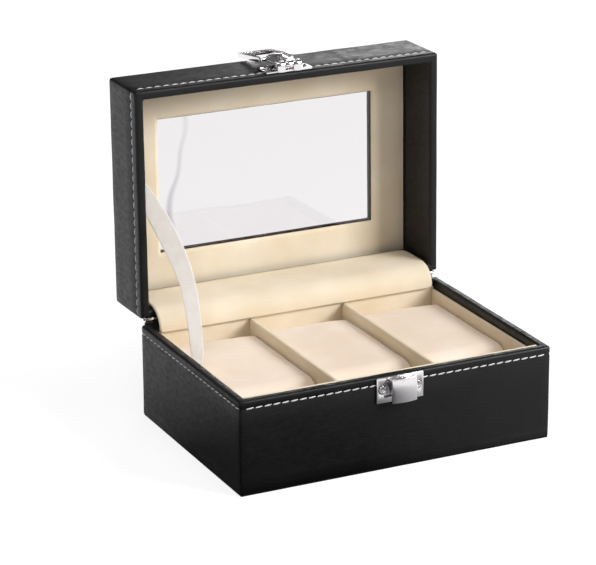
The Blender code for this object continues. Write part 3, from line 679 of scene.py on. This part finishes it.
def flap_form(shape):
    """The flap's bow, drawn out along the hinge, with slight ripples that die away at its glued ends."""
    row = [shape.verts.new((-FLAP_HALF, y, z)) for y, z in FLAP_ROUTE]
    edges = [shape.edges.new((a, b)) for a, b in zip(row, row[1:])]
    for _ in range(FLAP_STEPS):
        grown = bmesh.ops.extrude_edge_only(shape, edges=edges)["geom"]
        verts = [item for item in grown if isinstance(item, bmesh.types.BMVert)]
        edges = [item for item in grown if isinstance(item, bmesh.types.BMEdge)]
        edges = [e for e in edges if e.verts[0] in verts and e.verts[1] in verts]
        bmesh.ops.translate(shape, vec=(2 * FLAP_HALF / FLAP_STEPS, 0, 0), verts=verts)
    bmesh.ops.recalc_face_normals(shape, faces=shape.faces)
    lid_end, base_end = FLAP_ROUTE[0][0], FLAP_ROUTE[-1][1]
    ripple_x, ripple_y = FLAP_RIPPLE_SIZE
    for vert in shape.verts:
        from_base = min(1.0, (vert.co.z - base_end) / FLAP_BASE_FADE)
        ends = from_base * min(1.0, (lid_end - vert.co.y) / FLAP_LID_FADE)
        place = Vector((vert.co.x / ripple_x, vert.co.y / ripple_y, SEEDS["flap"]))
        vert.co.z += FLAP_RIPPLE * max(ends, 0.0) * noise.noise(place)


# Middle of the ribbon (x, y, z) and its turn about its own length in degrees, from the lid down to the
# base.
RIBBON_STATIONS = (
    (-74.4, 71.0, 112.5, 0), (-73.2, 66.5, 108.5, -10), (-71.4, 57.8, 101.6, -24), (-70.6, 49.5, 96.4, -28),
    (-70.2, 40.9, 91.0, -28), (-70.2, 32.8, 86.0, -26), (-70.4, 25.6, 80.8, -22), (-70.5, 19.1, 74.3, -18),
    (-70.6, 15.1, 62.9, -14), (-70.8, 12.8, 56.5, -12), (-71.2, 10.2, 49.5, -11), (-72.2, 6.8, 44.6, -8),
    (-73.4, 5.0, 41.6, -2), (-73.7, 4.0, 39.6, 0),
)
RIBBON_HALF = 5.5


def ribbon_form(shape):
    """The ribbon through its stations, with its own width and length as the weave's UV map."""
    layer = shape.loops.layers.uv.new("weave")
    centres = [Vector(station[:3]) for station in RIBBON_STATIONS]
    rows, run = [], 0.0
    for i, station in enumerate(RIBBON_STATIONS):
        before, after = centres[max(i - 1, 0)], centres[min(i + 1, len(centres) - 1)]
        along = (after - before).normalized()
        level = along.cross(RIGHT).normalized()
        across = Matrix.Rotation(radians(station[3]), 3, along) @ level
        run += (centres[i] - centres[i - 1]).length if i else 0.0
        rows.append([(centres[i] + across * RIBBON_HALF * t, (RIBBON_HALF * t, run))
                     for t in (-1, -0.5, 0, 0.5, 1)])
    verts = {}
    first = [shape.verts.new(point) for point, _ in rows[0]]
    edges = [shape.edges.new((a, b)) for a, b in zip(first, first[1:])]
    for vert, (_, uv) in zip(first, rows[0]):
        verts[vert] = uv
    last = first
    for row in rows[1:]:
        grown = bmesh.ops.extrude_edge_only(shape, edges=edges)["geom"]
        new = [item for item in grown if isinstance(item, bmesh.types.BMVert)]
        paired = []
        for vert in last:
            paired.append(next(e.other_vert(vert) for e in vert.link_edges if e.other_vert(vert) in new))
        for vert, (point, uv) in zip(paired, row):
            vert.co = point
            verts[vert] = uv
        edges = [shape.edges.get((a, b)) for a, b in zip(paired, paired[1:])]
        last = paired
    for face in shape.faces:
        for loop in face.loops:
            loop[layer].uv = [value * MM for value in verts[loop.vert]]
    bmesh.ops.recalc_face_normals(shape, faces=shape.faces)


# ---------------------------------------------------------------- metal, boards and pane

HARDWARE = (
    "catch_plate", "catch_hook", "catch_rivet", "catch_screw_left", "catch_screw_right", "hasp_plate",
    "hasp_screw_left", "hasp_screw_right", "hasp_pin", "hasp_lever", "hasp_ring", "hinge_leaf_base",
    "hinge_leaf_lid", "hinge_pin",
)
# Rounding of a stamped edge in millimetres, and the angles in degrees that are flat, or square.
METAL_ROUND = 0.16
METAL_FLAT = 1.5
METAL_SQUARE = 40
# Points nearer than this, in metres, are one.
WELD = 0.000002


def chrome_piece(name):
    """A metal node with its stamped edges eased."""
    source = frame["nodes"][name]
    shape = bmesh.new()
    shape.from_mesh(source.data)
    bmesh.ops.remove_doubles(shape, verts=shape.verts, dist=WELD)
    bmesh.ops.dissolve_limit(shape, angle_limit=radians(METAL_FLAT), verts=shape.verts, edges=shape.edges)
    round_edges(shape, square_edges(shape, least=METAL_SQUARE), METAL_ROUND * MM, steps=2)
    mesh = bpy.data.meshes.new(f"{name}_chrome")
    shape.to_mesh(mesh)
    shape.free()
    mesh.materials.append(paint("chrome"))
    mesh.shade_smooth()
    mesh.set_sharp_from_angle(angle=radians(SHARP))
    obj = bpy.data.objects.new(f"{name}_chrome", mesh)
    bpy.context.scene.collection.objects.link(obj)
    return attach(obj, source["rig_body"])


def repaint(name, slot):
    """Gives a CAD node the material of its slot."""
    mesh = frame["nodes"][name].data
    mesh.materials.clear()
    mesh.materials.append(paint(slot))


# ---------------------------------------------------------------- stage

# Softbox name, place and aim in metres, width and height in metres, and power in watts.
LIGHTS = (
    ("key_softbox", (0.98, -1.02, 0.85), (0.0, 0.0, 0.08), (0.7, 0.7), 25.0),
    ("top_softbox", (-0.2, -0.1, 1.6), (0.0, 0.0, 0.05), (1.3, 1.3), 8.0),
    ("back_softbox", (0.95, 1.45, 0.62), (0.06, 0.07, 0.16), (0.5, 0.4), 3.2),
    ("fill_softbox", (-0.55, -1.0, 1.0), (0.0, 0.0, 0.08), (0.6, 0.6), 2.0),
)
WORLD_LIGHT = 0.12
# Middle of the floor's painted shade, which only the object's reflections and bounced light see, and how
# far from it the floor is darkest, then white again, in metres.
FLOOR_SHADE = (-0.12, -0.1, 0.0)
FLOOR_SHADE_REACH = (0.11, 0.26)
FLOOR_HALF = 6.0
# The camera's direction and roll in degrees, its distance and aim in metres, and its lens in millimetres.
CAMERA_AZIMUTH = -25.819
CAMERA_ELEVATION = 19.243
CAMERA_ROLL = -0.261
CAMERA_DISTANCE = 1.33003
CAMERA_AIM = (-0.02384, 0.0, 0.07608)
CAMERA_LENS = 172.94
CAMERA_SENSOR = 36.0
CAMERA_CLIP = (0.05, 50.0)


def set_world(scene):
    """A weak even light from all round."""
    world = bpy.data.worlds.new("studio_fill")
    world.use_nodes = True
    tree = world.node_tree
    tree.nodes.clear()
    glow = node(tree, "ShaderNodeBackground", {"Color": opaque(linear("FFFFFF")), "Strength": WORLD_LIGHT})
    output = node(tree, "ShaderNodeOutputWorld")
    tree.links.new(glow.outputs[0], output.inputs["Surface"])
    scene.world = world


def set_floor(scene):
    """A plain white table top. Camera rays, and rays through the pane, see it evenly white: a grey diffuse
    floor that also glows. All other rays see only a painted glow instead, which lights the object as a lamp
    would and is painted darker at the near left, painted shade so that the leather's reflections there stay
    black."""
    shape = bmesh.new()
    bmesh.ops.create_grid(shape, x_segments=2, y_segments=2, size=FLOOR_HALF)
    mesh = bpy.data.meshes.new("floor")
    shape.to_mesh(mesh)
    shape.free()
    made, tree, output = start_material("white_sweep")
    seen = node(tree, "ShaderNodeBsdfPrincipled", {
        "Base Color": opaque(linear("A9A9A9")), "Roughness": 0.9, "Specular IOR Level": 0.0,
        "Emission Color": opaque(linear("FFFFFF")), "Emission Strength": 0.8})
    painted_shade_distance = node(tree, "ShaderNodeVectorMath", {0: object_place(tree), 1: FLOOR_SHADE}, operation="DISTANCE")
    darkest, white = FLOOR_SHADE_REACH
    reach = node(tree, "ShaderNodeMapRange",
                 {"Value": painted_shade_distance.outputs["Value"], "From Min": darkest, "From Max": white})
    # Painted shade: the glow that the object reflects and is lit by is darker near FLOOR_SHADE.
    glow = ramp(tree, reach.outputs[0], linear("58585A"), linear("FFFFFF"))
    painted_floor_glow = node(tree, "ShaderNodeEmission", {"Color": glow})
    # Camera and transmission rays see the plain floor; all other rays see the painted glow.
    ray = node(tree, "ShaderNodeLightPath").outputs
    direct = node(tree, "ShaderNodeMath", {0: ray["Is Camera Ray"], 1: ray["Is Transmission Ray"]},
                  operation="MAXIMUM")
    both = node(tree, "ShaderNodeMixShader",
                {0: direct.outputs[0], 1: painted_floor_glow.outputs[0], 2: seen.outputs[0]})
    tree.links.new(both.outputs[0], output.inputs["Surface"])
    mesh.materials.append(made)
    floor = bpy.data.objects.new("floor", mesh)
    scene.collection.objects.link(floor)


def add_softbox(scene, name, place, target, size, power):
    """A soft light that faces its target, out of the camera's sight."""
    light = bpy.data.lights.new(name, "AREA")
    light.shape = "RECTANGLE"
    light.size, light.size_y = size
    light.energy = power
    obj = bpy.data.objects.new(name, light)
    obj.location = place
    obj.visible_camera = False
    obj.rotation_mode = "QUATERNION"
    obj.rotation_quaternion = (Vector(target) - Vector(place)).to_track_quat("-Z", "Y")
    scene.collection.objects.link(obj)


def add_camera(scene):
    """The camera, a long lens from the near left and above."""
    lens = bpy.data.cameras.new("camera")
    lens.sensor_fit = "HORIZONTAL"
    lens.sensor_width = CAMERA_SENSOR
    lens.lens = CAMERA_LENS
    lens.clip_start, lens.clip_end = CAMERA_CLIP
    camera = bpy.data.objects.new("camera", lens)
    azimuth, elevation = radians(CAMERA_AZIMUTH), radians(CAMERA_ELEVATION)
    away = Vector((sin(azimuth) * cos(elevation), -cos(azimuth) * cos(elevation), sin(elevation)))
    turn = (-away).to_track_quat("-Z", "Y").to_matrix().to_4x4()
    roll = Matrix.Rotation(radians(CAMERA_ROLL), 4, "Z")
    camera.matrix_world = Matrix.Translation(Vector(CAMERA_AIM) + away * CAMERA_DISTANCE) @ turn @ roll
    scene.collection.objects.link(camera)
    scene.camera = camera


# ---------------------------------------------------------------- operators


class WatchBoxOperator:
    bl_options = {"REGISTER", "UNDO"}


class WATCHBOX_OT_leather(WatchBoxOperator, bpy.types.Operator):
    """Wraps the base and the lid in embossed leather"""

    bl_idname = "watchbox.leather"
    bl_label = "Leather covers"

    def execute(self, context):
        wall = [("SOLIDIFY", {"thickness": LEATHER * MM, "offset": -1.0})]
        for name, build, body in (("base", base_skin, "base"), ("lid", lid_skin, "lid")):
            obj = finish_piece(f"{name}_leather", build, "black_leather", body, modifiers=wall)
            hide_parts(f"{name}_leather_cover")
        return {"FINISHED"}


class WATCHBOX_OT_stitching(WatchBoxOperator, bpy.types.Operator):
    """Sews a row of white stitches below each rim"""

    bl_idname = "watchbox.stitching"
    bl_label = "Stitching"

    def execute(self, context):
        pitch = context.scene.watch_box_sizes.stitch_pitch / MM
        for name, flip in (("base", 1), ("lid", -1)):
            low, high = extent(f"{name}_leather_cover")
            height = high.z - BASE_STITCH_DROP if name == "base" else low.z + LID_STITCH_RISE

            def row(shape):
                stitch_row(shape, high.x - STITCH_SINK, high.y - STITCH_SINK, height, pitch, flip)

            finish_piece(f"{name}_stitching", row, "black_leather", name, finish="white_thread")
        return {"FINISHED"}


class WATCHBOX_OT_linings(WatchBoxOperator, bpy.types.Operator):
    """Lines the base and the lid with suede-covered card, and sets the two dividers"""

    bl_idname = "watchbox.linings"
    bl_label = "Linings and dividers"

    def execute(self, context):
        linings = ("lining_floor", "lining_front", "lining_rear", "lining_left", "lining_right")
        for names, radius, seed, waver in (
                (linings, LINING_ROUND, SEEDS["linings"], LINING_WAVER),
                (("divider_left", "divider_right"), DIVIDER_ROUND, SEEDS["dividers"], DIVIDER_WAVER)):
            for count, name in enumerate(names):
                low, high = extent(name)

                def card(shape):
                    covered_card(shape, low, high, radius, count + seed, waver)

                obj = finish_piece(f"{name}_suede", card, "cream_suede", "base")
                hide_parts(name)
        obj = finish_piece("lid_lining_suede", lid_panel, "cream_suede", "lid")
        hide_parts("lid_lining_panel")
        return {"FINISHED"}


class WATCHBOX_OT_pillows(WatchBoxOperator, bpy.types.Operator):
    """Fills the three watch pillows and stands one in each slot"""

    bl_idname = "watchbox.pillows"
    bl_label = "Watch pillows"

    def execute(self, context):
        low, high = extent("pillow_middle")
        for count, name in enumerate(("left", "middle", "right")):
            left, right = extent(f"pillow_{name}")
            shift = (left.x + right.x) / 2

            def build(shape):
                pillow_form(shape, low, high)
                bmesh.ops.translate(shape, vec=(shift, 0, 0), verts=shape.verts)
                soften(shape, PILLOW_WAVER, PILLOW_WAVER_SIZE, SEEDS["pillows"] + PILLOW_SEED_STEP * count)

            obj = finish_piece(f"pillow_{name}_velvet", build, "pillow_velvet", f"pillow_{name}")
            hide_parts(f"pillow_{name}")
        return {"FINISHED"}


class WATCHBOX_OT_flap(WatchBoxOperator, bpy.types.Operator):
    """Sews the suede flap that covers the hinge inside, from the lid's panel down into the base"""

    bl_idname = "watchbox.flap"
    bl_label = "Hinge flap"

    def execute(self, context):
        obj = finish_piece("hinge_flap_suede", flap_form, "cream_suede", None, sharp=CLOTH_SHARP,
                           modifiers=sheet_modifiers(FLAP_THICK))
        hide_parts("hinge_flap")
        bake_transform(obj)
        return {"FINISHED"}


class WATCHBOX_OT_ribbon(WatchBoxOperator, bpy.types.Operator):
    """Hangs the satin ribbon that stays the lid at its left side"""

    bl_idname = "watchbox.ribbon"
    bl_label = "Ribbon stay"

    def execute(self, context):
        obj = finish_piece("ribbon_satin", ribbon_form, "ivory_satin", None, sharp=CLOTH_SHARP,
                           modifiers=sheet_modifiers(RIBBON_THICK))
        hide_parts("ribbon_stay")
        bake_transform(obj)
        return {"FINISHED"}


class WATCHBOX_OT_window(WatchBoxOperator, bpy.types.Operator):
    """Gives the window its clear acrylic"""

    bl_idname = "watchbox.window"
    bl_label = "Window pane"

    def execute(self, context):
        repaint("window_pane", "clear_pane")
        return {"FINISHED"}


class WATCHBOX_OT_carcass(WatchBoxOperator, bpy.types.Operator):
    """Gives the boards, the pillow cores and the underside their own materials"""

    bl_idname = "watchbox.carcass"
    bl_label = "Boards and underside"

    def execute(self, context):
        for name in frame["nodes"]:
            if name.endswith("_board"):
                repaint(name, "board_fibre")
            if name.endswith("_core"):
                repaint(name, "grey_card")
        low, high = extent("underside_pad")

        def pad(shape):
            covered_card(shape, low, high, PAD_ROUND, SEEDS["pad"], PAD_WAVER)

        obj = finish_piece("underside_felt", pad, "black_felt", "base")
        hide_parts("underside_pad")
        return {"FINISHED"}


class WATCHBOX_OT_hardware(WatchBoxOperator, bpy.types.Operator):
    """Finishes the chrome latch, its screws and the rear hinge"""

    bl_idname = "watchbox.hardware"
    bl_label = "Latch and hinge"

    def execute(self, context):
        for name in HARDWARE:
            obj = chrome_piece(name)
            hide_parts(name)
        return {"FINISHED"}


class WATCHBOX_OT_stage(WatchBoxOperator, bpy.types.Operator):
    """Sets the pale floor, the soft studio lights and the camera"""

    bl_idname = "watchbox.stage"
    bl_label = "Stage"

    def execute(self, context):
        scene = context.scene
        scene.view_settings.view_transform = "Standard"
        set_world(scene)
        set_floor(scene)
        for name, place, target, size, power in LIGHTS:
            add_softbox(scene, name, place, target, size, power)
        add_camera(scene)
        return {"FINISHED"}


# ---------------------------------------------------------------- settings, panel, registration


class WatchBoxSizes(bpy.types.PropertyGroup):
    stitch_pitch: FloatProperty(
        name="Stitch pitch", description="Distance from one stitch to the next", default=4.4 * MM,
        min=2 * MM, max=10 * MM, subtype="DISTANCE", unit="LENGTH")


def colour_property(name, description, code):
    return FloatVectorProperty(name=name, description=description, default=linear(code), size=3, min=0.0,
                               max=1.0, subtype="COLOR")


class WatchBoxColours(bpy.types.PropertyGroup):
    leather: colour_property("Leather", "Black of the leather", "0E0E0F")
    leather_worn: colour_property("Leather, handled", "Black of the leather where it is worn", "171618")
    suede: colour_property("Suede", "Cream of the lining suede", "F3E6D0")
    suede_shade: colour_property("Suede, brushed down", "Lining suede where the nap lies away", "E8D8BD")
    velvet: colour_property("Velvet", "Warm cream of the pillow velvet", "F8EADB")
    velvet_shade: colour_property("Velvet, brushed down", "Pillow velvet where the nap lies away", "F1DDC9")
    chrome: colour_property("Chrome", "Tint of the chrome plate", "F1EEF0")
    satin: colour_property("Satin", "Ivory of the ribbon", "FFFBF4")
    satin_shade: colour_property("Satin, shaded", "Ribbon where its floats turn away", "FBF1E9")
    thread: colour_property("Thread", "White of the stitching", "F4F2F0")
    thread_shade: colour_property("Thread, shaded", "White of the thread between its plies", "C9C5C2")


class WATCHBOX_PT_panel(bpy.types.Panel):
    bl_idname = "WATCHBOX_PT_panel"
    bl_label = "Watch box"
    bl_space_type = "VIEW_3D"
    bl_region_type = "UI"
    bl_category = "Watch box"

    def draw(self, context):
        for operator in OPERATORS:
            self.layout.operator(operator.bl_idname)
        for group in (context.scene.watch_box_sizes, context.scene.watch_box_colours):
            for name in group.__annotations__:
                self.layout.prop(group, name)


OPERATORS = (
    WATCHBOX_OT_carcass, WATCHBOX_OT_leather, WATCHBOX_OT_stitching, WATCHBOX_OT_linings,
    WATCHBOX_OT_pillows, WATCHBOX_OT_flap, WATCHBOX_OT_ribbon, WATCHBOX_OT_window, WATCHBOX_OT_hardware,
    WATCHBOX_OT_stage,
)
CLASSES = (WatchBoxSizes, WatchBoxColours, *OPERATORS, WATCHBOX_PT_panel)


def register():
    for cls in CLASSES:
        bpy.utils.register_class(cls)
    bpy.types.Scene.watch_box_sizes = PointerProperty(type=WatchBoxSizes)
    bpy.types.Scene.watch_box_colours = PointerProperty(type=WatchBoxColours)


def unregister():
    del bpy.types.Scene.watch_box_colours
    del bpy.types.Scene.watch_box_sizes
    for cls in reversed(CLASSES):
        bpy.utils.unregister_class(cls)


def main():
    register()
    for operator in OPERATORS:
        group, name = operator.bl_idname.split(".")
        getattr(getattr(bpy.ops, group), name)()


if __name__ == "__main__":
    main()
